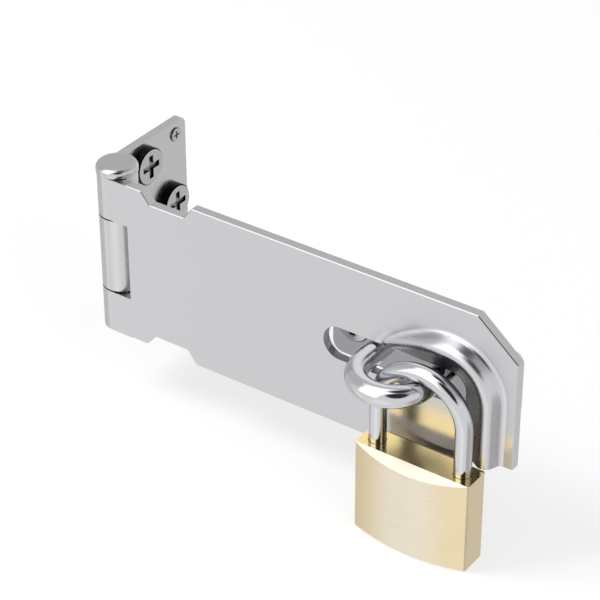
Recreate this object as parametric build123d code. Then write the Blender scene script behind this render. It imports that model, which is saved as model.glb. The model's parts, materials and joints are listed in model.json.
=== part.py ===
from build123d import *
import math
import os

# Locked hasp latch: a slotted arm on a three-knuckle hinge, a staple on its plate, and a small padlock.
# Millimetres. The origin is on the back of the staple plate, level with the middle of the arm's slot.
# +X runs along the arm, away from its hinge. +Y points into the door. +Z is up.

# Sheet and hinge
sheet = 2.4                 # arm, leaf and staple plate are cut from the same steel
pin_radius = 2.65
running_gap = 0.05          # radial play of what turns on the hinge pin
wrap_gap = 25.0             # degrees that each rolled knuckle stops short of its own sheet
knuckle_inset = 0.3         # the knuckles end this far inside the arm's width
outer_knuckle_length = 11.6
knuckle_gap = 0.4           # end play between neighbouring knuckles
window_reach = 6.6          # window for the middle knuckle, measured from the pin axis
cap_radius = 5.3
cap_height = 2.1
cap_round = 1.3
cap_gap = 0.15
rivet_end_height = 1.2
rivet_end_radius = 3.4
rivet_end_round = 0.8

# Arm
arm_width = 45.0
arm_reach = 117.4           # pin axis to the arm's free end
staple_inset = 29.6         # middle of the staple, from the arm's free end
arm_drop = 0.6              # the arm's middle lies this far below the slot's centre line
notch_start = 11.3
notch_end = 26.7
notch_slope = 2.6
notch_depth = 3.4
corner_cut_x = 10.8
corner_cut_z = 9.2
ledge_height = 6.9          # the free end stops this far above the arm's lower edge
ledge_length = 9.4          # and for this length
slot_length = 39.4
slot_inset = 13.0           # the slot ends this far short of the arm's free end
slot_height = 9.0
edge_bevel = 0.2

# Pressed shroud above and beside the slot
ramp_slope = 0.62           # rise of the inner slope, from the edge of the slot
wall_slope = 2.6            # fall of the outer wall
shroud_radius = 14.2        # foot of the outer wall, about the centre of the slot's round end
shroud_tilt = 27.5          # degrees between the shroud's upper run and the slot
shroud_limit = 8.0          # the two slopes are drawn this high, above the crest where they meet
crest_round = 2.3
foot_round = 1.5

# Hinge leaf
leaf_reach = 30.8           # pin axis to the leaf's far edge
leaf_corner = 1.9
leaf_relief = 5.3           # the leaf stands this far off the pin axis beside the arm's knuckles
leaf_screw_offset = 13.9    # upper and lower screws, from the pin axis
leaf_screw_inset = 6.4      # and from the leaf's edges
leaf_middle_offset = 24.0
leaf_middle_lift = 0.8      # the middle screw stands this far above the leaf's middle
corner_screw_reach = 4.3    # small screws, from the leaf's far edge
corner_screw_inset = 3.5    # and from its upper and lower edges

# Screws
head_radius = 4.95
head_height = 2.1
shank_radius = 2.5
neck_step = 0.2             # the neck in the plate is this much thicker than the shank beyond it
recess_span = 6.3
recess_width = 1.6
recess_depth = 1.3
recess_turn = 6.0           # degrees between a recess and the leaf's edges
head_bevel_share = 0.1      # of the head's height
leaf_screw_length = 3.0     # shank beyond the back of the leaf
staple_screw_length = 3.0   # shank beyond the back of the staple plate
small_head_radius = 1.9
small_head_height = 0.4
small_shank_radius = 1.2
small_screw_length = 1.5
small_recess_span = 2.0
small_recess_width = 0.5
small_recess_depth = 0.3

# Staple
plate_length = 51.0
plate_height = 17.2
plate_corner = 3.0
staple_screw_inset = 7.0    # its screws, from the plate's ends
staple_screw_stagger = 2.4
rod_radius = 2.8
rod_spread = 8.6            # staple legs, each side of the middle
rod_bend_centre = 15.0      # plate back to the centre of the staple's bend
rod_rise = 1.2              # the staple stands this far above the slot's centre line

# Padlock: place
lock_x = 9.1
lock_y = -17.3
lock_top = -16.6
rest_gap = 0.3              # play between the shackle and the staple it hangs on

# Padlock: body
lock_width = 31.0
lock_height = 24.4
lock_side = 7.2             # thickness along the narrow sides
lock_thickness = 12.4       # over the two bulged faces
lock_bevel_drop = 1.75
lock_edge = 0.35

# Padlock: shackle
shackle_radius = 2.15
leg_margin = 3.9            # centre of each leg to the body's narrow side
shackle_play = 0.1
lift = 10.0                 # how far the body drops when it is unlocked
short_leg_depth = 9.4
long_leg_depth = 15.0
leg_notch_depth = 0.85
leg_flat_depth = 0.45
stop_pin_radius = 0.6
stop_pin_depth = 3.0
hole_end_gap = 0.4
spring_seat = 4.4           # length of the shackle spring while the lock is shut

# Padlock: bolts and cam
bolt_depth = 3.9
bolt_radius = 1.3
bolt_play = 0.1
bolt_inner = 3.55
bolt_engage = 0.6
bolt_travel = 1.9
bolt_hole_plug_length = 1.2
cam_long = 3.2
cam_short = 0.9
cam_height = 2.9
cam_disc = 1.0
tongue_width = 1.4
tongue_length = 4.0
tongue_height = 0.7

# Padlock: plug and pins
plug_radius = 3.3
plug_play = 0.05
plug_recess = 0.2
keyway_width = 1.4
keyway_height = 4.6
keyway_start = 0.9          # from the plug's surface, on the side of the pins
keyway_length = 15.0
groove_depth = 0.7
groove_height = 1.4
groove_up = 2.2             # groove's middle above the body's lower face
retainer_radius = 0.55
pin_count = 4
pin_first = 12.2            # depth of the uppermost pin
pin_pitch = 2.6
pin_hole_radius = 1.0
pin_play = 0.08
key_pin_lengths = [2.7, 2.2, 2.9, 2.4]
key_pin_nose = 0.5
driver_length = 3.0
hole_plug_length = 3.0
spring_wire = 0.18
spring_turns = 5
shackle_spring_wire = 0.4
shackle_spring_turns = 4

# Cutting shapes
spare = 1.0                 # they run on this far past what they cut
punch_reach = 20.0          # and this far each way through the sheet
tolerance = 0.01            # edges are picked within this distance of where they should be

# Worked out from the sizes above
bore_radius = pin_radius + running_gap
knuckle_radius = bore_radius + sheet
pin_x = staple_inset - arm_reach
staple_screw_spread = plate_length / 2 - staple_screw_inset
pin_y = -knuckle_radius
face_y = -2 * knuckle_radius
arm_mid = -arm_drop
arm_top = arm_mid + arm_width / 2
arm_bottom = arm_mid - arm_width / 2
arm_end = pin_x + arm_reach
slot_radius = slot_height / 2
slot_right_centre = arm_end - slot_inset - slot_radius
slot_left_centre = slot_right_centre - slot_length + 2 * slot_radius
ledge_x = arm_end - ledge_length
knuckle_half_height = arm_width / 2 - knuckle_inset
middle_knuckle_half = knuckle_half_height - outer_knuckle_length - knuckle_gap
leaf_screw_height = arm_width / 2 - leaf_screw_inset
shackle_spread = lock_width / 2 - leg_margin
shackle_arch_z = rod_rise + rod_radius + rest_gap + shackle_radius - shackle_spread
lock_bottom = lock_top - lock_height
left_leg_x = lock_x - shackle_spread
right_leg_x = lock_x + shackle_spread
leg_hole_radius = shackle_radius + shackle_play
plug_bore_radius = plug_radius + plug_play
bolt_z = lock_top - bolt_depth
bolt_bore_radius = bolt_radius + bolt_play
blade_top = bolt_z + cam_height / 2
disc_bottom = bolt_z - cam_height / 2 - cam_disc
plug_top = disc_bottom - plug_play
long_hole_depth = long_leg_depth + spring_seat


def box(x0, x1, y0, y1, z0, z1):
    """A block between two corners."""
    return Pos((x0 + x1) / 2, (y0 + y1) / 2, (z0 + z1) / 2) * Box(x1 - x0, y1 - y0, z1 - z0)


def rod_x(x0, x1, y, z, radius):
    """A round bar along X."""
    return Pos((x0 + x1) / 2, y, z) * Rot(0, 90, 0) * Cylinder(radius, x1 - x0)


def rod_y(x, y0, y1, z, radius):
    """A round bar along Y."""
    return Pos(x, (y0 + y1) / 2, z) * Rot(90, 0, 0) * Cylinder(radius, y1 - y0)


def rod_z(x, y, z0, z1, radius):
    """A round bar along Z."""
    return Pos(x, y, (z0 + z1) / 2) * Cylinder(radius, z1 - z0)


def outline(points):
    """A flat face from its corners."""
    return make_face(Polyline(*points, close=True))


def rolled_profile():
    """Section of a rolled knuckle about the pin axis, with a stub of sheet that leaves it along +X."""
    ring = Circle(knuckle_radius) - Circle(bore_radius)
    reach = 2 * knuckle_radius
    angle = math.radians(wrap_gap)
    mouth = outline([
        (0, 0),
        (0, -reach),
        (reach, -reach),
        (reach * math.cos(angle), -reach * math.sin(angle)),
    ])
    stub = Pos(window_reach / 2, -knuckle_radius + sheet / 2) * Rectangle(window_reach, sheet)
    return ring - mouth + stub


def knuckle(z0, z1):
    """A length of rolled knuckle for the arm."""
    return Pos(pin_x, pin_y, z0) * extrude(rolled_profile(), z1 - z0)


def door_plane(y):
    """A sketch plane parallel to the door: sketch x is X and sketch y is Z. It looks into the door."""
    return Plane(origin=(0, y, 0), x_dir=(1, 0, 0), z_dir=(0, -1, 0))


def arm_outline():
    """Corners of the arm's sheet as X and Z, from the hinge round by its upper edge."""
    notch_top = arm_top - notch_depth
    notch_bottom = arm_bottom + notch_depth
    knuckle_top = arm_mid + knuckle_half_height
    knuckle_bottom = arm_mid - knuckle_half_height
    window_top = arm_mid + middle_knuckle_half + knuckle_gap
    window_bottom = arm_mid - middle_knuckle_half - knuckle_gap
    return [
        (pin_x + window_reach / 2, knuckle_top),
        (pin_x + notch_start, knuckle_top),
        (pin_x + notch_start + notch_slope, notch_top),
        (pin_x + notch_end - notch_slope, notch_top),
        (pin_x + notch_end, arm_top),
        (arm_end - corner_cut_x, arm_top),
        (arm_end, arm_top - corner_cut_z),
        (arm_end, arm_bottom + ledge_height),
        (ledge_x, arm_bottom + ledge_height),
        (ledge_x - ledge_height, arm_bottom),
        (pin_x + notch_end, arm_bottom),
        (pin_x + notch_end - notch_slope, notch_bottom),
        (pin_x + notch_start + notch_slope, notch_bottom),
        (pin_x + notch_start, knuckle_bottom),
        (pin_x + window_reach / 2, knuckle_bottom),
        (pin_x + window_reach / 2, window_bottom),
        (pin_x + window_reach, window_bottom),
        (pin_x + window_reach, window_top),
        (pin_x + window_reach / 2, window_top),
    ]


def upright_plane(x, z):
    """A sketch plane square to the door: sketch x runs outward along (x, z), sketch y into the door."""
    return Plane(origin=(slot_right_centre, 0, 0), x_dir=(x, 0, z), z_dir=(-z, 0, x))


def shroud_block(plane_y, slot_offset, foot_offset):
    """What stands in front of a plane, between the shroud's outer wall and its inner slope.

    The inner slope starts slot_offset outside the slot. The wall starts foot_offset inside its foot.
    """
    foot = shroud_radius - foot_offset
    top = foot - shroud_limit / wall_slope
    start = slot_radius + slot_offset
    end = start + shroud_limit / ramp_slope
    low = arm_bottom - sheet
    tip_y = plane_y - shroud_limit
    round_place = Pos(slot_right_centre, (plane_y + tip_y) / 2, 0) * Rot(90, 0, 0)
    wall_section = outline([(0, plane_y), (foot, plane_y), (top, tip_y), (0, tip_y)])
    ramp_section = outline([(-spare, plane_y), (start, plane_y), (end, tip_y), (-spare, tip_y)])
    across_ramp = outline([(low - spare, plane_y), (start, plane_y), (end, tip_y), (low - spare, tip_y)])
    beside = Pos(slot_right_centre, 0, low)
    run = math.radians(shroud_tilt + 90)
    wall = extrude(beside * wall_section, -low) + round_place * Cone(foot, top, shroud_limit)
    wall += extrude(upright_plane(math.cos(run), math.sin(run)) * wall_section, 2 * shroud_radius)
    ramp_beside = extrude(Pos(0, 0, -spare) * beside * ramp_section, spare - low)
    ramp_round = round_place * Cone(start, end, shroud_limit)
    ramp_above = extrude(upright_plane(0, 1) * across_ramp, arm_reach)
    return wall - ramp_beside - ramp_round - ramp_above


def crest_edges(block, plane_y, slot_offset, foot_offset):
    """The edges of a shroud block where its wall and its inner slope meet."""
    tilt = math.radians(shroud_tilt)
    found = []
    for edge in block.edges():
        middle = edge @ 0.5
        dx = middle.X - slot_right_centre
        if middle.Z > 0:
            from_slot = math.hypot(max(dx, 0), middle.Z) - slot_radius - slot_offset
        else:
            from_slot = dx - slot_radius - slot_offset
        if dx * math.cos(tilt) + middle.Z * math.sin(tilt) < 0:
            from_centre = middle.Z * math.cos(tilt) - dx * math.sin(tilt)
        else:
            from_centre = math.hypot(dx, max(middle.Z, 0))
        ramp = ramp_slope * from_slot
        wall = wall_slope * (shroud_radius - foot_offset - from_centre)
        height = plane_y - middle.Y
        if height > foot_round and abs(ramp - height) < tolerance and abs(wall - height) < tolerance:
            found.append(edge)
    return found


def foot_edges(arm):
    """The edges where the shroud's outer wall leaves the flat sheet."""
    tilt = math.radians(shroud_tilt)
    found = []
    for edge in arm.edges():
        middle = edge @ 0.5
        dx = middle.X - slot_right_centre
        if dx * math.cos(tilt) + middle.Z * math.sin(tilt) < 0:
            from_centre = middle.Z * math.cos(tilt) - dx * math.sin(tilt)
        else:
            from_centre = math.hypot(dx, max(middle.Z, 0))
        level = abs(middle.Y - face_y) < tolerance and abs((edge @ 0).Y - face_y) < tolerance
        if level and abs(from_centre - shroud_radius) < tolerance and edge.length > foot_round:
            found.append(edge)
    return found


def hasp_arm():
    """The arm: sheet with its slot and pressed shroud, and the two outer knuckles."""
    blank = extrude(door_plane(face_y) * outline(arm_outline()), -sheet)
    ledge = arm_bottom + ledge_height
    bevelled = []
    for edge in blank.edges():
        middle = edge @ 0.5
        level = abs((edge @ 0).Y - face_y) < tolerance and abs((edge @ 1).Y - face_y) < tolerance
        at_hinge = middle.X < pin_x + window_reach + tolerance
        at_ledge = middle.X > ledge_x - ledge_height and middle.Z < ledge + tolerance
        if level and not at_hinge and not at_ledge:
            bevelled.append(edge)
    blank = chamfer(bevelled, edge_bevel)
    punch_plane = door_plane(face_y - punch_reach)
    punch = extrude(punch_plane * outline(arm_outline()), -2 * punch_reach)
    block = shroud_block(face_y, 0, 0)
    raised = fillet(crest_edges(block, face_y, 0, 0), crest_round) & punch
    ramp_shift = sheet * (math.hypot(1, ramp_slope) - 1) / ramp_slope
    wall_shift = sheet * (math.hypot(1, wall_slope) - 1) / wall_slope
    pocket = shroud_block(face_y + sheet, ramp_shift, wall_shift)
    slot_centre = (slot_left_centre + slot_right_centre) / 2
    slot_shape = SlotCenterToCenter(slot_right_centre - slot_left_centre, slot_height)
    slot = extrude(punch_plane * Pos(slot_centre, 0) * slot_shape, -2 * punch_reach)
    arm = blank + raised
    arm = fillet(foot_edges(arm), foot_round) - pocket - slot
    upper = knuckle(arm_mid + middle_knuckle_half + knuckle_gap, arm_mid + knuckle_half_height)
    lower = knuckle(arm_mid - knuckle_half_height, arm_mid - middle_knuckle_half - knuckle_gap)
    return arm + upper + lower


def hinge_pin():
    """The pin: a round shank with a low domed cap, and a riveted end that holds it in."""
    top = arm_mid + knuckle_half_height + cap_gap
    bottom = arm_mid - knuckle_half_height - cap_gap
    cap = Pos(0, 0, cap_height / 2) * Cylinder(cap_radius, cap_height)
    cap = fillet(cap.edges().group_by(Axis.Z)[-1], cap_round)
    end = Pos(0, 0, -rivet_end_height / 2) * Cylinder(rivet_end_radius, rivet_end_height)
    end = fillet(end.edges().group_by(Axis.Z)[0], rivet_end_round)
    shank = rod_z(pin_x, pin_y, bottom - rivet_end_height / 2, top + cap_height / 2, pin_radius)
    return shank + Pos(pin_x, pin_y, top) * cap + Pos(pin_x, pin_y, bottom) * end


def leaf_stations():
    """Offset from the pin axis and height of each large leaf screw, by name."""
    return {
        "leaf_screw_upper": (leaf_screw_offset, arm_mid + leaf_screw_height),
        "leaf_screw_middle": (leaf_middle_offset, arm_mid + leaf_middle_lift),
        "leaf_screw_lower": (leaf_screw_offset, arm_mid - leaf_screw_height),
    }


def corner_screw_stations():
    """Offset from the pin axis and height of each small corner screw, by name."""
    offset = leaf_reach - corner_screw_reach
    return {
        "leaf_corner_screw_upper": (offset, arm_top - corner_screw_inset),
        "leaf_corner_screw_lower": (offset, arm_bottom + corner_screw_inset),
    }


def hinge_leaf():
    """The leaf, which stands square to the arm: a plate that ends in the middle knuckle."""
    z0 = arm_mid - middle_knuckle_half
    z1 = arm_mid + middle_knuckle_half
    profile = mirror(rolled_profile(), about=Plane(origin=(0, 0, 0), z_dir=(1, -1, 0)))
    roll = Pos(pin_x, pin_y, z0) * extrude(profile, z1 - z0)
    inner_x = pin_x - bore_radius
    outer_x = pin_x - knuckle_radius
    plate = box(outer_x, inner_x, pin_y + leaf_relief, pin_y + leaf_reach, arm_bottom, arm_top)
    far_edges = plate.edges().filter_by(Axis.X).group_by(Axis.Y)[-1]
    plate = fillet(far_edges, leaf_corner)
    plate = chamfer(plate.faces().sort_by(Axis.X)[-1].edges(), edge_bevel)
    tongue = box(outer_x, inner_x, pin_y + window_reach / 2, pin_y + leaf_relief + sheet, z0, z1)
    leaf = plate + tongue + roll
    for offset, z in leaf_stations().values():
        leaf -= rod_x(outer_x - spare, inner_x + spare, pin_y + offset, z, shank_radius + neck_step)
    for offset, z in corner_screw_stations().values():
        leaf -= rod_x(outer_x - spare, inner_x + spare, pin_y + offset, z, small_shank_radius + neck_step)
    return leaf


def cross_screw(radius, height, shank, length, span, width, depth):
    """A screw: head above the origin with a cross recess in its top, neck and shank below it."""
    head = Pos(0, 0, height / 2) * Cylinder(radius, height)
    head = chamfer(head.edges().group_by(Axis.Z)[-1], height * head_bevel_share)
    body = head + rod_z(0, 0, -sheet, 0, shank + neck_step) + rod_z(0, 0, -sheet - length, 0, shank)
    top = height - depth / 2
    body -= Pos(0, 0, top) * Box(span, width, depth)
    body -= Pos(0, 0, top) * Box(width, span, depth)
    return body


def leaf_screw(offset, z):
    """A large screw of the leaf, with its head on the leaf's inner face."""
    screw = cross_screw(
        head_radius, head_height, shank_radius, leaf_screw_length,
        recess_span, recess_width, recess_depth,
    )
    return Pos(pin_x - bore_radius, pin_y + offset, z) * Rot(0, 90, 0) * Rot(0, 0, recess_turn) * screw


def corner_screw(offset, z):
    """A small screw near the leaf's far corner."""
    screw = cross_screw(
        small_head_radius, small_head_height, small_shank_radius, small_screw_length,
        small_recess_span, small_recess_width, small_recess_depth,
    )
    return Pos(pin_x - bore_radius, pin_y + offset, z) * Rot(0, 90, 0) * screw


def staple_screw_stations():
    """X and Z of each staple screw, by name."""
    return {
        "staple_screw_left": (-staple_screw_spread, staple_screw_stagger),
        "staple_screw_right": (staple_screw_spread, -staple_screw_stagger),
    }


def staple_plate():
    """The plate behind the arm, with holes for its screws and for the staple's legs."""
    plate = box(-plate_length / 2, plate_length / 2, -sheet, 0, -plate_height / 2, plate_height / 2)
    plate = fillet(plate.edges().filter_by(Axis.Y), plate_corner)
    plate = chamfer(plate.faces().sort_by(Axis.Y)[0].edges(), edge_bevel)
    for x in (-rod_spread, rod_spread):
        plate -= rod_y(x, -sheet - spare, spare, rod_rise, rod_radius)
    for x, z in staple_screw_stations().values():
        plate -= rod_y(x, -sheet - spare, spare, z, shank_radius + neck_step)
    return plate


def staple_rod():
    """The staple: one round rod bent to a U, its ends fixed in the plate."""
    bend_y = -rod_bend_centre
    path = Line((-rod_spread, 0, 0), (-rod_spread, bend_y, 0))
    path += ThreePointArc((-rod_spread, bend_y, 0), (0, bend_y - rod_spread, 0), (rod_spread, bend_y, 0))
    path += Line((rod_spread, bend_y, 0), (rod_spread, 0, 0))
    section = Plane(origin=(-rod_spread, 0, 0), z_dir=(0, -1, 0)) * Circle(rod_radius)
    return Pos(0, 0, rod_rise) * sweep(section, path=path)


def staple_screw(x, z):
    """A screw that holds the staple plate: its head on the plate, its shank into the door."""
    screw = cross_screw(
        head_radius, head_height, shank_radius, staple_screw_length,
        recess_span, recess_width, recess_depth,
    )
    return Pos(x, -sheet, z) * Rot(90, 0, 0) * screw


def lock_outline():
    """Plan of the padlock's body: straight narrow sides and two bulged faces."""
    half = lock_width / 2
    side = lock_side / 2
    bulge = lock_thickness / 2
    front = ThreePointArc((-half, -side), (0, -bulge), (half, -side))
    right = Line((half, -side), (half, side))
    back = ThreePointArc((half, side), (0, bulge), (-half, side))
    left = Line((-half, side), (-half, -side))
    return make_face([front, right, back, left])


def pin_height(index):
    """Height of a tumbler pin's axis."""
    return lock_top - pin_first - pin_pitch * index


def bulge_at(offset):
    """Half of the body's thickness at this distance from its middle."""
    half = lock_width / 2
    rise = (lock_thickness - lock_side) / 2
    radius = (half ** 2 + rise ** 2) / (2 * rise)
    return lock_side / 2 + rise - radius + math.sqrt(radius ** 2 - offset ** 2)


def lock_body():
    """The padlock's body, with its holes for the legs, bolts, plug, pins and cross pins."""
    body = Pos(lock_x, lock_y, lock_bottom) * extrude(lock_outline(), lock_height)
    slope = lock_bevel_drop / ((lock_thickness - lock_side) / 2)
    reach = lock_thickness
    for side in (-1, 1):
        edge_y = side * lock_side / 2
        wedge = make_face(Polyline(
            (edge_y, 0), (edge_y + side * reach, 0), (edge_y + side * reach, -slope * reach), close=True,
        ))
        section = Plane(origin=(lock_x - lock_width, lock_y, lock_top), x_dir=(0, 1, 0), z_dir=(1, 0, 0))
        body -= extrude(section * wedge, 2 * lock_width)
    side_edges = [e for e in body.edges().filter_by(Axis.Z) if e.length > lock_height / 2]
    body = chamfer(side_edges, lock_edge)
    short_hole_end = lock_top - short_leg_depth - hole_end_gap
    body -= rod_z(left_leg_x, lock_y, short_hole_end, lock_top + spare, leg_hole_radius)
    body -= rod_z(right_leg_x, lock_y, lock_top - long_hole_depth, lock_top + spare, leg_hole_radius)
    body -= rod_x(lock_x - lock_width, right_leg_x, lock_y, bolt_z, bolt_bore_radius)
    body -= rod_z(lock_x, lock_y, lock_bottom - spare, blade_top + plug_play, plug_bore_radius)
    for index in range(pin_count):
        body -= rod_x(lock_x - lock_width, lock_x, lock_y, pin_height(index), pin_hole_radius)
    body -= stop_pin(spare)
    body -= plug_retainer(spare)
    return body


def stop_pin(beyond=0):
    """The cross pin that keeps the long leg in the body, driven in from the back, or the hole for it."""
    offset = shackle_spread + shackle_radius - leg_flat_depth + shackle_play / 2 + stop_pin_radius
    back = lock_y + bulge_at(offset + stop_pin_radius) + beyond
    front = lock_y - shackle_radius
    return rod_y(lock_x + offset, front, back, lock_top - stop_pin_depth, stop_pin_radius)


def plug_retainer(beyond=0):
    """The cross pin that runs in the plug's groove, driven in from the back, or the hole for it."""
    offset = plug_radius - groove_depth + plug_play + retainer_radius
    back = lock_y + bulge_at(offset + retainer_radius) + beyond
    front = lock_y - plug_radius / 2
    return rod_y(lock_x + offset, front, back, lock_bottom + groove_up, retainer_radius)


def shackle():
    """The shackle: a round rod bent to an arch, with a long leg that stays in the body and a short leg."""
    foot_left = lock_top - short_leg_depth
    foot_right = lock_top - long_leg_depth
    top = shackle_arch_z + shackle_spread
    path = Line((left_leg_x, lock_y, foot_left), (left_leg_x, lock_y, shackle_arch_z))
    path += ThreePointArc(
        (left_leg_x, lock_y, shackle_arch_z), (lock_x, lock_y, top), (right_leg_x, lock_y, shackle_arch_z),
    )
    path += Line((right_leg_x, lock_y, shackle_arch_z), (right_leg_x, lock_y, foot_right))
    section = Plane(origin=(left_leg_x, lock_y, foot_left), z_dir=(0, 0, 1)) * Circle(shackle_radius)
    bow = sweep(section, path=path)
    notch_top = bolt_z + bolt_radius + 2 * bolt_play
    drop = lift * bolt_engage / bolt_travel + bolt_play
    notch_bottom = bolt_z - bolt_radius - drop - bolt_play
    reach = 2 * shackle_radius
    inner_left = left_leg_x + shackle_radius - leg_notch_depth
    inner_right = right_leg_x - shackle_radius + leg_notch_depth
    bow -= box(inner_left, inner_left + reach, lock_y - reach, lock_y + reach, notch_bottom, notch_top)
    bow -= box(inner_right - reach, inner_right, lock_y - reach, lock_y + reach, notch_bottom, notch_top)
    flat_x = right_leg_x + shackle_radius - leg_flat_depth
    flat_top = lock_top - stop_pin_depth + 2 * stop_pin_radius
    flat_bottom = lock_top - stop_pin_depth - lift - stop_pin_radius - shackle_play
    bow -= box(flat_x, flat_x + reach, lock_y - reach, lock_y + reach, flat_bottom, flat_top)
    return bow


def coil(x, y, z0, z1, radius, wire, turns):
    """A compression spring along Z between two heights."""
    rise = z1 - z0 - 2 * wire
    helix = Helix(pitch=rise / turns, height=rise, radius=radius)
    section = Plane(origin=helix @ 0, z_dir=helix % 0) * Circle(wire)
    return Pos(x, y, z0 + wire) * sweep(section, path=helix)


def shackle_spring():
    """The spring under the long leg, which throws the body down when the bolts let go."""
    z0 = lock_top - long_hole_depth
    z1 = lock_top - long_leg_depth
    radius = shackle_radius - shackle_spring_wire - shackle_play
    return coil(right_leg_x, lock_y, z0, z1, radius, shackle_spring_wire, shackle_spring_turns)


def bolt(side):
    """A locking bolt: a round pin that stands in a notch of one leg, side -1 left or +1 right."""
    outer = shackle_spread - shackle_radius + bolt_engage
    x0 = lock_x + side * bolt_inner
    x1 = lock_x + side * outer
    return rod_x(min(x0, x1), max(x0, x1), lock_y, bolt_z, bolt_radius)


def bolt_hole_plug():
    """The plug that closes the bolts' bore in the side of the body."""
    side = lock_x - lock_width / 2
    return rod_x(side, side + bolt_hole_plug_length, lock_y, bolt_z, bolt_bore_radius)


def lock_cam():
    """The cam: a flat oval blade that holds the bolts apart, on a disc that the plug's tongue turns."""
    blade_foot = Pos(lock_x, lock_y, bolt_z - cam_height / 2)
    blade = blade_foot * extrude(Ellipse(cam_long, cam_short), cam_height)
    disc = rod_z(lock_x, lock_y, disc_bottom, disc_bottom + cam_disc, cam_long)
    slot_half = tongue_width / 2 + plug_play
    groove = box(
        lock_x - cam_long, lock_x + cam_long, lock_y - slot_half, lock_y + slot_half,
        disc_bottom, disc_bottom + tongue_height,
    )
    return blade + disc - groove


def lock_plug():
    """The plug: a round barrel with its keyway, pin holes, retaining groove and driving tongue."""
    foot = lock_bottom + plug_recess
    plug = rod_z(lock_x, lock_y, foot, plug_top, plug_radius)
    plug += box(
        lock_x - tongue_length / 2, lock_x + tongue_length / 2,
        lock_y - tongue_width / 2, lock_y + tongue_width / 2,
        plug_top, plug_top + tongue_height,
    )
    key_left = lock_x - plug_radius + keyway_start
    plug -= box(
        key_left, key_left + keyway_height, lock_y - keyway_width / 2, lock_y + keyway_width / 2,
        foot - spare, foot + keyway_length,
    )
    for index in range(pin_count):
        deepest = lock_x - plug_radius + max(key_pin_lengths) + pin_play
        plug -= rod_x(lock_x - 2 * plug_radius, deepest, lock_y, pin_height(index), pin_hole_radius)
    groove_z = lock_bottom + groove_up
    ring = Circle(2 * plug_radius) - Circle(plug_radius - groove_depth)
    plug -= Pos(lock_x, lock_y, groove_z - groove_height / 2) * extrude(ring, groove_height)
    return plug


def key_pin(index):
    """A key pin: it rides in the plug, and the rim of its end is level with the plug's surface."""
    radius = pin_hole_radius - pin_play
    outer = lock_x - math.sqrt(plug_radius ** 2 - radius ** 2)
    shoulder = lock_x - plug_radius + key_pin_lengths[index] - key_pin_nose
    z = pin_height(index)
    nose = Rot(0, 90, 0) * Cone(radius, radius / 2, key_pin_nose)
    return rod_x(outer, shoulder, lock_y, z, radius) + Pos(shoulder + key_pin_nose / 2, lock_y, z) * nose


def driver_pin(index):
    """A driver pin: it stands in the body, clear of the plug."""
    outer = lock_x - plug_bore_radius - plug_play
    return rod_x(outer - driver_length, outer, lock_y, pin_height(index), pin_hole_radius - pin_play)


def pin_hole_plug(index):
    """The plug that closes one pin hole in the side of the body."""
    side = lock_x - lock_width / 2
    return rod_x(side, side + hole_plug_length, lock_y, pin_height(index), pin_hole_radius)


def pin_spring(index):
    """The spring behind one driver pin."""
    x0 = lock_x - lock_width / 2 + hole_plug_length
    x1 = lock_x - plug_bore_radius - plug_play - driver_length
    radius = pin_hole_radius - spring_wire - pin_play
    upright = coil(0, 0, 0, x1 - x0, radius, spring_wire, spring_turns)
    return Pos(x0, lock_y, pin_height(index)) * Rot(0, 90, 0) * upright


def pieces():
    """Every piece by name."""
    parts = {
        "hasp_arm": hasp_arm(),
        "hinge_pin": hinge_pin(),
        "hinge_leaf": hinge_leaf(),
        "staple_plate": staple_plate(),
        "staple_rod": staple_rod(),
        "lock_body": lock_body(),
        "shackle": shackle(),
        "shackle_spring": shackle_spring(),
        "shackle_stop_pin": stop_pin(),
        "bolt_left": bolt(-1),
        "bolt_right": bolt(1),
        "bolt_hole_plug": bolt_hole_plug(),
        "lock_cam": lock_cam(),
        "lock_plug": lock_plug(),
        "plug_retainer": plug_retainer(),
    }
    for name, (offset, z) in leaf_stations().items():
        parts[name] = leaf_screw(offset, z)
    for name, (offset, z) in corner_screw_stations().items():
        parts[name] = corner_screw(offset, z)
    for name, (x, z) in staple_screw_stations().items():
        parts[name] = staple_screw(x, z)
    for index in range(pin_count):
        parts[f"key_pin_{index + 1}"] = key_pin(index)
        parts[f"driver_pin_{index + 1}"] = driver_pin(index)
        parts[f"pin_spring_{index + 1}"] = pin_spring(index)
        parts[f"pin_hole_plug_{index + 1}"] = pin_hole_plug(index)
    return parts


os.makedirs("parts", exist_ok=True)
for name, solid in pieces().items():
    export_step(solid, f"parts/{name}.step")
    print(f"{name}: {solid.volume:.1f} mm3")
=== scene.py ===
import json
import math

import bpy
from mathutils import Euler, Matrix, Vector


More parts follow.
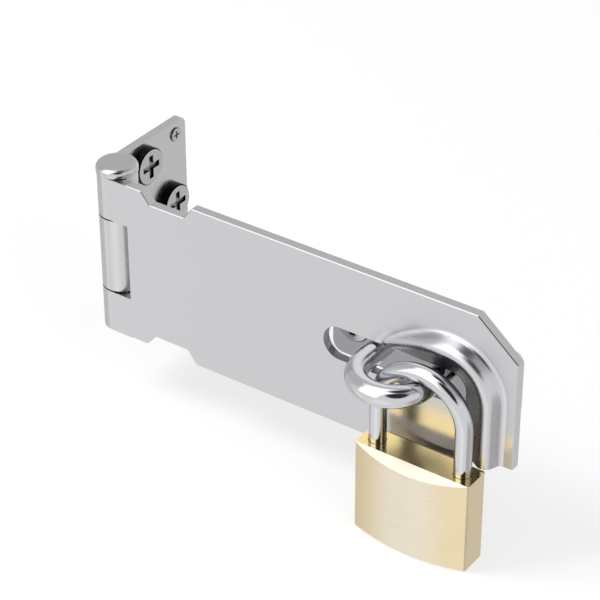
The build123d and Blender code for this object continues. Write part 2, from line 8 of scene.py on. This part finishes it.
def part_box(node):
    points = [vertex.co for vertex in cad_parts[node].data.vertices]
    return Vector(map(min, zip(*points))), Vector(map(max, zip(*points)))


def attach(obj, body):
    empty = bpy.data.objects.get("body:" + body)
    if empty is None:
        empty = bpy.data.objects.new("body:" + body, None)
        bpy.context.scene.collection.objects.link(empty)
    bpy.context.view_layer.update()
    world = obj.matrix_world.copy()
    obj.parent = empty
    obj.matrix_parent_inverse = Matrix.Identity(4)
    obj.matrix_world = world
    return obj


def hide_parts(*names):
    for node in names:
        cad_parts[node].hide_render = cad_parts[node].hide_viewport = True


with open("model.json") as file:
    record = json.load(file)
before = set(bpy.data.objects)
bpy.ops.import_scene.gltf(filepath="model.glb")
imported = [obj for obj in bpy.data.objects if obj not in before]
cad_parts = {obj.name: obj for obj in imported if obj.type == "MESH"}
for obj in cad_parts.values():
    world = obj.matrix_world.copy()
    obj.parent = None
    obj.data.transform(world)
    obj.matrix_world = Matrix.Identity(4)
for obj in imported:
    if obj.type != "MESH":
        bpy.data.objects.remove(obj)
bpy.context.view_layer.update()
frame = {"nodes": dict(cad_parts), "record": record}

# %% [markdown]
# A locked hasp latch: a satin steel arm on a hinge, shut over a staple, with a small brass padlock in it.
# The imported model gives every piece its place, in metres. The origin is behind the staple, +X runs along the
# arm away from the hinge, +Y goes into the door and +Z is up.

MM = 0.001
nodes = frame["nodes"]


def deselect():
    """Leave nothing selected and no object active, so that an operator acts on what comes next."""
    for thing in bpy.context.selected_objects:
        thing.select_set(False)
    bpy.context.view_layer.objects.active = None


def activate(thing):
    """Select one object alone and make it the active one."""
    deselect()
    thing.select_set(True)
    bpy.context.view_layer.objects.active = thing


def linear(code):
    """Turn an sRGB hex colour into the linear values that a shader takes."""
    shares = [int(code[place:place + 2], 16) / 255 for place in (1, 3, 5)]
    return [s / 12.92 if s <= 0.04045 else ((s + 0.055) / 1.055) ** 2.4 for s in shares] + [1.0]


def add_node(tree, kind, settings=None, links=None):
    """Add a node, give its sockets and properties their values, and link sockets to others' outputs."""
    node = tree.nodes.new(kind)
    for name, value in (settings or {}).items():
        if isinstance(name, int) or name in node.inputs:
            node.inputs[name].default_value = value
        else:
            setattr(node, name, value)
    for name, output in (links or {}).items():
        tree.links.new(output, node.inputs[name])
    return node


deselect()
print("frame:", len(nodes), "nodes")

# %% [markdown]
# The camera was fitted to the corners of the arm: it stands 35 degrees round to the right of the arm's
# face and 33 degrees above it, about 0.57 m off, with a long lens, so lines in depth stay nearly parallel.

# %% Camera
CAMERA_PLACE = Vector((235.263, -383.87, 307.389)) * MM
CAMERA_AZIMUTH = math.radians(35.318)
CAMERA_ELEVATION = math.radians(33.174)
CAMERA_ROLL = math.radians(-0.163)
LENS_MM = 140.154
SENSOR_MM = 36
VIEW_DEPTH = 20

level_aim = Euler((math.pi / 2 - CAMERA_ELEVATION, 0, CAMERA_AZIMUTH)).to_matrix()
camera_turn = (level_aim @ Matrix.Rotation(CAMERA_ROLL, 3, "Z")).to_euler()
bpy.ops.object.camera_add(location=CAMERA_PLACE, rotation=camera_turn)
camera = bpy.context.object
camera.data.lens = LENS_MM
camera.data.sensor_width = SENSOR_MM
camera.data.clip_end = VIEW_DEPTH
bpy.context.scene.camera = camera
print("camera at", [round(v, 3) for v in camera.location])

# %% [markdown]
# Metal shows what stands round it, so the surroundings matter more here than the lamps. The polished rods in
# the picture tell what stood there: white paper below and at the sides, greyer on the left and behind, a tall
# bright soft box at the front left that reaches over the top, and the dark camera at the front right. A world
# could hold a photographed panorama, but a few smooth patches, each placed by its direction, are enough. Only
# glossy rays see them: the camera sees plain white, and matt surfaces get an even fill.


# %% Directions and patches
def direction(azimuth, elevation):
    """A unit vector: azimuth turns from the front (-Y) towards the right (+X), in degrees."""
    turn, lift = math.radians(azimuth), math.radians(elevation)
    return (math.sin(turn) * math.cos(lift), -math.cos(turn) * math.cos(lift), math.sin(lift))


def reach_mask(tree, source, vector, off, on, both_ways=False):
    """A mask by how far a source reaches along a vector: 0 at off and past it, 1 at on, smooth between."""
    reach = add_node(tree, "ShaderNodeVectorMath", {"operation": "DOT_PRODUCT", 1: vector}, {0: source})
    reach = reach.outputs["Value"]
    if both_ways:
        reach = add_node(tree, "ShaderNodeMath", {"operation": "ABSOLUTE"}, {0: reach}).outputs[0]
    return add_node(tree, "ShaderNodeMapRange", {
        "interpolation_type": "SMOOTHSTEP", "From Min": off, "From Max": on,
    }, {"Value": reach}).outputs[0]


def round_patch(tree, sight, under, patch):
    """Lay a round patch over what is there already."""
    brightness, azimuth, elevation, inner, outer = patch
    gone, full = math.cos(math.radians(outer)), math.cos(math.radians(inner))
    mask = reach_mask(tree, sight, direction(azimuth, elevation), gone, full)
    return add_node(tree, "ShaderNodeMix", {3: brightness}, {0: mask, 2: under}).outputs[0]


# %% What stands round the latch
PAPER = 0.97
LEFT_GREY = 0.66
SOFT_BOX = 1.75
FILL = 0.6

# Each patch has a brightness, then in degrees its azimuth, its elevation, the angle from its middle within
# which it is full and the one where it is gone.
PAPER_PATCHES = [
    (LEFT_GREY, -115, 38, 30, 75),  # the left of the room
    (0.72, 160, 55, 20, 60),        # high up behind
    (0.55, 100, 62, 15, 40),        # high up on the right
    (1.15, 5, -33, 4, 28),          # lit paper in front, which the arm mirrors
    (1.13, -56, -33, 4, 15),        # lit paper at the front left, which the arm mirrors too
    (0.77, 145, -33, 12, 40),       # paper behind, which the leaf mirrors
    (0.58, 95, -33, 10, 32),        # paper on the right
    (0.72, -103, -33, 24, 44),      # paper on the left
]
TOP_PATCHES = [
    (SOFT_BOX, -60, 74, 10, 26),    # where the soft box reaches over the top
    (0.04, 43, 41, 17, 27),         # the dark camera
    (0.06, 80, 78, 9, 20),          # the dark beside the soft box's upper end
]

# The soft box is a tall band. Each pair says how far a direction reaches where the box is gone and is full.
BOX_AZIMUTH = -25
BOX_SIDES = (0.45, 0.33)
BOX_AHEAD = (-0.1, 0.1)
BOX_FOOT = (-0.06, 0.14)

# %% World
world = bpy.data.worlds.new("white_studio")
bpy.context.scene.world = world
world.use_nodes = True
tree = world.node_tree
tree.nodes.clear()
sight = add_node(tree, "ShaderNodeTexCoord").outputs["Generated"]
paper_all_round = add_node(tree, "ShaderNodeValue")
paper_all_round.outputs[0].default_value = PAPER
level = paper_all_round.outputs[0]
for patch in PAPER_PATCHES:
    level = round_patch(tree, sight, level, patch)

between = reach_mask(tree, sight, direction(BOX_AZIMUTH + 90, 0), *BOX_SIDES, both_ways=True)
ahead = reach_mask(tree, sight, direction(BOX_AZIMUTH, 0), *BOX_AHEAD)
raised = reach_mask(tree, sight, (0, 0, 1), *BOX_FOOT)
in_front = add_node(tree, "ShaderNodeMath", {"operation": "MULTIPLY"}, {0: between, 1: ahead}).outputs[0]
box_mask = add_node(tree, "ShaderNodeMath", {"operation": "MULTIPLY"}, {0: in_front, 1: raised}).outputs[0]
level = add_node(tree, "ShaderNodeMix", {3: SOFT_BOX}, {0: box_mask, 2: level}).outputs[0]
for patch in TOP_PATCHES:
    level = round_patch(tree, sight, level, patch)

studio = add_node(tree, "ShaderNodeBackground", links={"Color": level})
fill = add_node(tree, "ShaderNodeBackground", {"Color": (1, 1, 1, 1), "Strength": FILL})
white = add_node(tree, "ShaderNodeBackground", {"Color": (1, 1, 1, 1)})
ray = add_node(tree, "ShaderNodeLightPath")
mirrored = add_node(tree, "ShaderNodeMixShader", links={
    0: ray.outputs["Is Glossy Ray"], 1: fill.outputs[0], 2: studio.outputs[0],
})
seen = add_node(tree, "ShaderNodeMixShader", links={
    0: ray.outputs["Is Camera Ray"], 1: mirrored.outputs[0], 2: white.outputs[0],
})
add_node(tree, "ShaderNodeOutputWorld", links={0: seen.outputs[0]})
bpy.context.scene.view_settings.view_transform = "Standard"
print("surroundings: a soft box and", len(PAPER_PATCHES) + len(TOP_PATCHES), "patches")

# %% [markdown]
# Two square lamps light the matt paper and throw the shadow. They are half a metre wide and a good metre off,
# so the shadow's edge is soft, where a sun or a small lamp would draw it hard. The world already shows the
# metal its soft box, so glossy rays miss the lamps.

# %% Lamps
LOOK_AT = Vector((-0.02, 0, 0))
LAMP_WIDTH = 0.5


def soft_lamp(name, place, watts):
    """A square lamp that looks at the middle of the arm."""
    bpy.ops.object.light_add(type="AREA", location=place)
    lamp = bpy.context.object
    lamp.name = name
    lamp.data.size = LAMP_WIDTH
    lamp.data.energy = watts
    lamp.visible_glossy = False
    sight_line = LOOK_AT - Vector(place)
    lamp.rotation_euler = sight_line.to_track_quat("-Z", "Y").to_euler()
    print(name, "is", round(sight_line.length, 2), "m off")


soft_lamp("key_lamp", (-0.7, -0.5, 1.0), watts=9)
soft_lamp("side_lamp", (0.9, -0.4, 0.7), watts=3)

# %% [markdown]
# The floor is matt white paper, just under the padlock. Lit by the lamps alone it would turn grey away from
# them, so to the camera it is nearly all plain white. A share of its own shading is left in, which keeps the
# soft shadow. The metal doesn't mirror this sheet: the patches of the world stand for paper there.

# %% Floor
FLOOR_DROP = 0.5 * MM
FLOOR_WIDTH = 6
OWN_SHADING = 0.35


def new_material(name):
    """An empty material and its tree."""
    made = bpy.data.materials.new(name)
    made.use_nodes = True
    made.node_tree.nodes.clear()
    return made, made.node_tree


floor_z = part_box("lock_body")[0].z - FLOOR_DROP
bpy.ops.mesh.primitive_plane_add(size=FLOOR_WIDTH, location=(0, 0, floor_z))
floor = bpy.context.object
floor.name = "paper_sweep"
floor.visible_glossy = False
paper, tree = new_material("matt_white_paper")
matt = add_node(tree, "ShaderNodeBsdfDiffuse", {"Color": linear("#FAFAFA")})
plain = add_node(tree, "ShaderNodeEmission", {"Color": (1, 1, 1, 1)})
looked_at = add_node(tree, "ShaderNodeLightPath").outputs["Is Camera Ray"]
share = add_node(tree, "ShaderNodeMath", {"operation": "MULTIPLY", 1: 1 - OWN_SHADING}, {0: looked_at})
sheet_look = add_node(tree, "ShaderNodeMixShader", links={
    0: share.outputs[0], 1: matt.outputs[0], 2: plain.outputs[0],
})
add_node(tree, "ShaderNodeOutputMaterial", links={0: sheet_look.outputs[0]})
floor.data.materials.append(paper)
deselect()
print("floor at", round(floor_z / MM, 2), "mm")

# %% [markdown]
# Every finish here is a metal, and each is told from the others by its grain. A flat grey would look like
# plastic: real sheet keeps the lines of the rolls or the belt, and its gloss drifts a little from place to
# place. So each metal gets two noises in object space. One is stretched along the working direction, for
# the lines; the other is round and larger, for the drift. Both steer the roughness and, very slightly, the
# tone. Real lines are under 0.1 mm wide, too fine to show from here, so they are drawn 0.25 to 0.8 mm wide.

# %% Metal with a grain
CLOUD_SHARE = 0.4
LINE_DEPTH = 0.02 * MM

# Nearly all of a noise lies between these two.
NOISE_LOW = 0.3
NOISE_HIGH = 0.7


def grain(tree, grain_mm, cloud_mm):
    """Two patterns in object space, each 0 to 1: lines as large as grain_mm along X, Y and Z, and clouds."""
    place = add_node(tree, "ShaderNodeTexCoord").outputs["Object"]
    per_metre = [1 / (size * MM) for size in grain_mm]
    stretch = add_node(tree, "ShaderNodeMapping", {"Scale": per_metre}, {"Vector": place}).outputs[0]
    lines = add_node(tree, "ShaderNodeTexNoise", {"Scale": 1.0, "Detail": 3.0}, {"Vector": stretch})
    clouds = add_node(tree, "ShaderNodeTexNoise", {
        "Scale": 1 / (cloud_mm * MM), "Detail": 2.0,
    }, {"Vector": place})
    return lines.outputs["Fac"], clouds.outputs["Fac"]


def pattern(tree, lines, clouds, colour, roughness, drift, shade):
    """A metal's colour and roughness, which drift with the grain: the one by shade, the other by drift."""
    both = add_node(tree, "ShaderNodeMix", {"Factor": CLOUD_SHARE}, {"A": lines, "B": clouds}).outputs[0]
    gloss = add_node(tree, "ShaderNodeMapRange", {
        "From Min": NOISE_LOW, "From Max": NOISE_HIGH,
        "To Min": roughness - drift, "To Max": roughness + drift,
    }, {"Value": both}).outputs[0]
    full = linear(colour)
    darker = [channel * (1 - shade) for channel in full[:3]] + [1]
    tone = add_node(tree, "ShaderNodeMix", {"data_type": "RGBA", 6: darker, 7: full}, {0: both}).outputs[2]
    return tone, gloss


def blend(tree, mask, first, second):
    """Two patterns over one surface: the second shows where the mask is 1."""
    tone = add_node(tree, "ShaderNodeMix", {"data_type": "RGBA"}, {0: mask, 6: first[0], 7: second[0]})
    gloss = add_node(tree, "ShaderNodeMix", links={0: mask, 2: first[1], 3: second[1]})
    return tone.outputs[2], gloss.outputs[0]


def metal(tree, look, height, depth=0.0, depth_from=None, metal_share=1.0):
    """A metal's shader, from its colour and roughness. Its lines are depth strong, or as an output says."""
    steer = {"Height": height}
    if depth_from is not None:
        steer["Strength"] = depth_from
    bump = add_node(tree, "ShaderNodeBump", {"Strength": depth, "Distance": LINE_DEPTH}, steer).outputs[0]
    shader = add_node(tree, "ShaderNodeBsdfPrincipled", {"Metallic": metal_share}, {
        "Base Color": look[0], "Roughness": look[1], "Normal": bump,
    })
    add_node(tree, "ShaderNodeOutputMaterial", links={0: shader.outputs[0]})


def grained_metal(name, colour, roughness, grain_mm, depth, drift=0.05, shade=0.06, cloud_mm=7):
    """A metal of one finish all over."""
    made, tree = new_material(name)
    lines, clouds = grain(tree, grain_mm, cloud_mm)
    metal(tree, pattern(tree, lines, clouds, colour, roughness, drift, shade), lines, depth)
    print("finish:", name)
    return made


# %% [markdown]
# The arm and the leaf are mild steel with bright zinc plating, thin enough to keep the faint lines of the
# rolled sheet. The eye sees an even satin grey with a trace of blue that mirrors only what is close. The
# leaf's grain looks rounder and a little coarser, as barrel polishing leaves it, and the hinge pin's cap is
# smoother than both. The staple's plate was dulled, so it scatters more light and looks paler than the arm in
# front of it.

# %% Zinc on the arm
# The hood's inner slope gets painted shade: these say which way it faces and where along X it starts.
PAINTED_SHADE_WAY = (-1, 0, -1)
PAINTED_SHADE_SLOPE = (0.0, 0.35)
HOOD_FROM_X = (-6 * MM, 6 * MM)


def arm_zinc(name):
    """Satin zinc, with painted shade: the hood's inner slope, where it looks down or left, is painted darker.
    """
    made, tree = new_material(name)
    lines, clouds = grain(tree, (9, 0.3, 0.3), cloud_mm=7)
    sheet = pattern(tree, lines, clouds, "#D0D0D3", roughness=0.25, drift=0.03, shade=0.04)
    # A darker copy of the zinc, painted shade for the dark that the inner slope mirrors.
    painted_shade_sheet = pattern(tree, lines, clouds, "#6C6C6F", roughness=0.28, drift=0.05, shade=0.2)
    seat = add_node(tree, "ShaderNodeTexCoord")
    inward = reach_mask(tree, seat.outputs["Normal"], PAINTED_SHADE_WAY, *PAINTED_SHADE_SLOPE)
    beyond = reach_mask(tree, seat.outputs["Object"], (1, 0, 0), *HOOD_FROM_X)
    mask = add_node(tree, "ShaderNodeMath", {"operation": "MULTIPLY"}, {0: inward, 1: beyond}).outputs[0]
    metal(tree, blend(tree, mask, sheet, painted_shade_sheet), lines, depth=0.05)
    print("finish:", name)
    return made


zinc = arm_zinc("bright_zinc_plated_rolled_steel")


# %% Zinc on the other pieces
def dull_zinc(name):
    """Zinc that was dulled in a bath: fine crystals scatter light, so part of it is matt."""
    made, tree = new_material(name)
    lines, clouds = grain(tree, (0.6, 0.6, 0.6), cloud_mm=6)
    look = pattern(tree, lines, clouds, "#E8E8EC", roughness=0.38, drift=0.06, shade=0.06)
    metal(tree, look, lines, depth=0.2, metal_share=0.65)
    print("finish:", name)
    return made


leaf_zinc = grained_metal(
    "barrel_polished_zinc_steel", "#D3D3D4", 0.25, (0.6, 0.8, 0.6), depth=0.08, shade=0.1, cloud_mm=5,
)
plate_zinc = dull_zinc("dulled_zinc_plate")
pin_steel = grained_metal("polished_pin_steel", "#CACACC", 0.13, (0.8, 0.8, 0.8), depth=0.05, drift=0.03)
screw_zinc = grained_metal("zinc_plated_screw_steel", "#BEBEC0", 0.24, (0.4, 0.4, 0.4), depth=0.15)

# %% [markdown]
# The staple and the shackle are round rod, polished and then plated with nickel and chromium. They are the
# sharpest mirrors of the whole and show the soft box and the dark camera as clear shapes. The springs inside
# the padlock are plain drawn wire.

# %% Chrome and spring wire
chrome = grained_metal(
    "polished_chromed_steel", "#D0D0D3", 0.07, (3, 3, 3), depth=0.02, drift=0.02, shade=0.02,
)
dull_spring = grained_metal("drawn_spring_wire", "#A8A8A8", 0.3, (0.3, 0.3, 0.3), depth=0.1)

# %% [markdown]
# The padlock's body is cut from a drawn brass bar. Its two bulged faces and sides are brushed lengthwise, and
# the lines are fine and even. The brushed colour is painted lighter in the middle of the bulge, a painted
# highlight, and deeper towards its ends, where the face turns sideways, a painted shade. The top is turned
# bright, so it is a stronger yellow and mirrors the legs. The way the surface faces tells the finishes apart,
# because the cut is square to the bar. The plug, bolts and pins inside are turned brass all over.

# %% Brass
# The lit colour is a painted highlight in the middle of the bulge; the shaded one is painted shade towards its
# ends.
LIT_BRUSHED = "#F8EEDA"
SHADED_BRUSHED = "#F1DFBA"
BRIGHT = "#F8E0A2"
BULGE_ENDS = (0.04, 0.26)
CUT_ENDS = (0.85, 0.95)
BRUSHED_DEPTH = 0.6
TURNED_DEPTH = 0.1


def body_brass(name):
    """Brushed brass on the faces and sides, bright brass where the surface looks up or down."""
    made, tree = new_material(name)
    lines, clouds = grain(tree, (16, 0.6, 0.5), cloud_mm=8)
    lit_brushed, deep = [
        pattern(tree, lines, clouds, colour, roughness=0.33, drift=0.07, shade=0.24)
        for colour in (LIT_BRUSHED, SHADED_BRUSHED)
    ]
    turned_lines, turned_clouds = grain(tree, (5, 0.25, 0.25), cloud_mm=5)
    bright = pattern(tree, turned_lines, turned_clouds, BRIGHT, roughness=0.12, drift=0.03, shade=0.08)
    faces = add_node(tree, "ShaderNodeTexCoord").outputs["Normal"]
    # Painted highlight and shade: lighter where the face looks straight ahead, deeper towards the bulge's
    # ends.
    outer = reach_mask(tree, faces, (1, 0, 0), *BULGE_ENDS, both_ways=True)
    flat_end = reach_mask(tree, faces, (0, 0, 1), *CUT_ENDS, both_ways=True)
    look = blend(tree, flat_end, blend(tree, outer, lit_brushed, deep), bright)
    height = add_node(tree, "ShaderNodeMix", links={0: flat_end, 2: lines, 3: turned_lines}).outputs[0]
    depth = add_node(tree, "ShaderNodeMix", {2: BRUSHED_DEPTH, 3: TURNED_DEPTH}, {0: flat_end}).outputs[0]
    metal(tree, look, height, depth_from=depth)
    print("finish:", name)
    return made


brass = body_brass("brushed_brass_bar")
inner_brass = grained_metal(
    "turned_brass", BRIGHT, 0.16, (6, 0.3, 0.3), depth=0.1, drift=0.04, shade=0.08,
)

# %% [markdown]
# The sheets, the padlock and the shackle already have their true shape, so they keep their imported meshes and
# only get a finish. Each node's slot names it, so that one loop dresses them all. The hinge pin shares its
# slot with the leaf, but was turned and polished by itself.

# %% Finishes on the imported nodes
FINISHES = {
    "arm_steel": zinc, "leaf_steel": leaf_zinc, "plate_steel": plate_zinc, "rod_chrome": chrome,
    "shackle_chrome": chrome, "screw_steel": screw_zinc, "lock_brass": brass, "inner_brass": inner_brass,
    "spring_steel": dull_spring,
}
OWN_FINISHES = {"hinge_pin": pin_steel}
for entry in frame["record"]["subparts"]:
    name = entry["node"]
    node = nodes[name]
    node.data.materials.clear()
    node.data.materials.append(OWN_FINISHES.get(name, FINISHES[entry["material_slot"]]))
print("finished slots:", sorted(FINISHES))

# %% [markdown]
# The staple is a round rod, bent over a former. The rod starts as a disc at the foot of one leg, which is
# pushed along the leg, swung half round the bend, and pushed back along the other leg. A curve with a round
# bevel would look the same, but the disc's way is that of the real rod, and leaves a closed mesh at once.


# %% Taking a finished piece
def take(name, piece, body, node):
    """Name a finished piece, put its origin at zero, and let it stand for its node on a body."""
    piece.name = name
    activate(piece)
    bpy.ops.object.transform_apply(location=True, rotation=True, scale=True)
    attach(piece, body)
    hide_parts(node)
    print(name, "has", len(piece.data.polygons), "faces")


# %% Staple
ROD_SIDES = 56
BEND_STEPS = 44
ROD_SMOOTHING = math.radians(40)
MERGE_WITHIN = 0.001 * MM

low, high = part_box("staple_rod")
rod_radius = (high.z - low.z) / 2
rod_z = (high.z + low.z) / 2
leg_x = high.x - rod_radius
leg = Vector((0, low.y + rod_radius + leg_x, 0))
deselect()
bpy.ops.mesh.primitive_circle_add(
    vertices=ROD_SIDES, radius=rod_radius, fill_type="NGON",
    location=(-leg_x, 0, rod_z), rotation=leg.to_track_quat("Z", "Y").to_euler(),
)
staple = bpy.context.object
bpy.ops.object.transform_apply(location=True, rotation=True, scale=True)
bpy.ops.object.mode_set(mode="EDIT")
bpy.ops.mesh.select_all(action="SELECT")
bpy.ops.mesh.extrude_region_move(TRANSFORM_OT_translate={"value": leg})
bpy.ops.mesh.spin(steps=BEND_STEPS, angle=-math.pi, center=(0, leg.y, rod_z), axis=(0, 0, 1))
bpy.ops.mesh.extrude_region_move(TRANSFORM_OT_translate={"value": -leg})
bpy.ops.mesh.select_all(action="SELECT")
bpy.ops.mesh.remove_doubles(threshold=MERGE_WITHIN)
bpy.ops.mesh.normals_make_consistent(inside=False)
bpy.ops.object.mode_set(mode="OBJECT")
bpy.ops.object.shade_smooth_by_angle(angle=ROD_SMOOTHING)
staple.data.materials.append(chrome)
take("bent_staple", staple, "hasp", "staple_rod")
print("staple box", [round(v / MM, 2) for v in staple.dimensions])
print("node's box", [round(v / MM, 2) for v in high - low])

# %% [markdown]
# The screws have low cheese heads with bright ground faces. Their rims and the walls of the cross are painted
# nearly black, painted shade for the dark they mirror, so they draw a thin dark outline; the small screws'
# rims are painted a lighter grey shade. The floor of the cross is painted a darker grey, painted shade in the
# recess.
# A drawn ring in the material could fake the outline, but a real narrow step at the rim keeps it right
# from every side.

# %% Screw finishes
# Painted shade: the rims and the walls of the cross, near black on the large screws, grey on the small.
painted_shade_rim = grained_metal(
    "screw_rim_painted_shade", "#1C1C1E", 0.42, (0.3, 0.3, 0.3), depth=0.2, drift=0.08, shade=0.3,
)
painted_grey_rim = grained_metal("screw_rim_painted_grey_shade", "#77777A", 0.3, (0.3, 0.3, 0.3), depth=0.2, shade=0.2)
ground_face = grained_metal("ground_screw_face", "#C6C6C7", 0.24, (0.25, 0.25, 2.5), depth=0.2, shade=0.1)
# Painted shade in the cross: its floor is darker than the face.
painted_shade_recess = grained_metal("recess_floor_painted_shade", "#A2A2A4", 0.4, (0.3, 0.3, 0.3), depth=0.2, shade=0.2)

# %% [markdown]
# One large and one small screw are modelled, facing up, and copied to their places. A head is a disc whose
# face is inset and raised, so that a step is left at its rim. The neck and shank are pushed out of its
# underside. Two bars cut the cross, which is simpler and sharper than to draw its outline on the face.

# %% Screw sizes
HEAD_SIDES = 64
RIM_STEP = 0.3 * MM
NECK_LENGTH = 2.4 * MM
HEAD_SMOOTHING = math.radians(35)

# A face looks straight up or down if its normal goes further than this along Z.
STRAIGHT = 0.9

LARGE = {
    "head_height": 2.1 * MM, "shank_radius": 2.5 * MM, "shank_length": 3.0 * MM,
    "bar_length": 6.3 * MM, "bar_width": 1.6 * MM, "cross_depth": 0.7 * MM, "rim": painted_shade_rim,
}
SMALL = {
    "head_height": 0.4 * MM, "shank_radius": 1.2 * MM, "shank_length": 1.5 * MM,
    "bar_length": 2.0 * MM, "bar_width": 0.5 * MM, "cross_depth": 0.3 * MM, "rim": painted_grey_rim,
}


# %% Picking and cutting
def pick_faces(thing, wanted):
    """Select in edit mode the faces that a test accepts."""
    bpy.ops.object.mode_set(mode="EDIT")
    bpy.ops.mesh.select_mode(type="FACE")
    bpy.ops.mesh.select_all(action="DESELECT")
    bpy.ops.object.mode_set(mode="OBJECT")
    for face in thing.data.polygons:
        face.select = wanted(face)
    bpy.ops.object.mode_set(mode="EDIT")


def cut(thing, cutter):
    """Cut one piece out of another and delete the cutter."""
    activate(thing)
    knife = thing.modifiers.new("cut", "BOOLEAN")
    knife.operation = "DIFFERENCE"
    knife.object = cutter
    knife.solver = "EXACT"
    bpy.ops.object.modifier_apply(modifier=knife.name)
    activate(cutter)
    bpy.ops.object.delete()
    activate(thing)


# %% A screw's blank
def screw_blank(radius, sizes, step):
    """A head that faces up, its face at the origin and a step at its rim, with neck and shank under it."""
    rim_height = sizes["head_height"] - step
    below = NECK_LENGTH + sizes["shank_length"]
    deselect()
    bpy.ops.mesh.primitive_cylinder_add(
        vertices=HEAD_SIDES, radius=radius, depth=rim_height, location=(0, 0, -step - rim_height / 2),
    )
    blank = bpy.context.object
    bpy.ops.object.transform_apply(location=True, rotation=True, scale=True)
    pick_faces(blank, lambda face: face.normal.z > STRAIGHT)
    bpy.ops.mesh.inset(thickness=step)
    bpy.ops.mesh.extrude_region_move(TRANSFORM_OT_translate={"value": (0, 0, step)})
    pick_faces(blank, lambda face: face.normal.z < -STRAIGHT)
    bpy.ops.mesh.inset(thickness=radius - sizes["shank_radius"])
    bpy.ops.mesh.extrude_region_move(TRANSFORM_OT_translate={"value": (0, 0, -below)})
    bpy.ops.object.mode_set(mode="OBJECT")
    return blank


# %% A screw's cross and finish
def cross_screw(node, sizes):
    """A finished screw that faces up, with a head as wide as a node's."""
    low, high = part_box(node)
    radius = (high.z - low.z) / 2
    step = min(RIM_STEP, sizes["head_height"] / 3)
    made = screw_blank(radius, sizes, step)
    long, narrow, deep = sizes["bar_length"], sizes["bar_width"], sizes["cross_depth"]
    for width, length in ((long, narrow), (narrow, long)):
        deselect()
        bpy.ops.mesh.primitive_cube_add(size=1, location=(0, 0, 0))
        bar = bpy.context.object
        bar.scale = (width, length, 2 * deep)
        bpy.ops.object.transform_apply(location=True, rotation=True, scale=True)
        cut(made, bar)
    # Every face but the face and the cross's floor gets the painted dark rim; the floor gets painted shade.
    for finish in (sizes["rim"], ground_face, painted_shade_recess):
        made.data.materials.append(finish)
    near = step / 4
    upward = [face for face in made.data.polygons if face.normal.z > STRAIGHT]
    for face in upward:
        if abs(face.center.z) < near:
            face.material_index = 1
        elif abs(face.center.z + deep) < near:
            face.material_index = 2
    bpy.ops.object.shade_smooth_by_angle(angle=HEAD_SMOOTHING)
    print("modelled a screw with a head", round(2 * radius / MM, 2), "mm wide")
    return made


# %% Screws
FACES_RIGHT = (0, math.pi / 2, 0)
FACES_FRONT = (math.pi / 2, 0, 0)


def fit_screw(model, name, node, turn, body):
    """Copy a screw, turn the copy, and put its head's face where its node's is."""
    activate(model)
    bpy.ops.object.duplicate()
    copy = bpy.context.object
    copy.rotation_euler = turn
    low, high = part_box(node)
    copy.location = (low + high) / 2
    if turn == FACES_RIGHT:
        copy.location.x = high.x
    else:
        copy.location.y = low.y
    take(name, copy, body, node)


large_screw = cross_screw("leaf_screw_upper", LARGE)
small_screw = cross_screw("leaf_corner_screw_upper", SMALL)
for place in ("upper", "middle", "lower"):
    fit_screw(large_screw, "cross_screw_" + place, "leaf_screw_" + place, FACES_RIGHT, "leaf")
for place in ("upper", "lower"):
    corner = "leaf_corner_screw_" + place
    fit_screw(small_screw, "corner_cross_screw_" + place, corner, FACES_RIGHT, "leaf")
for place in ("left", "right"):
    fit_screw(large_screw, "plate_cross_screw_" + place, "staple_screw_" + place, FACES_FRONT, "hasp")
for model in (large_screw, small_screw):
    activate(model)
    bpy.ops.object.delete()
deselect()
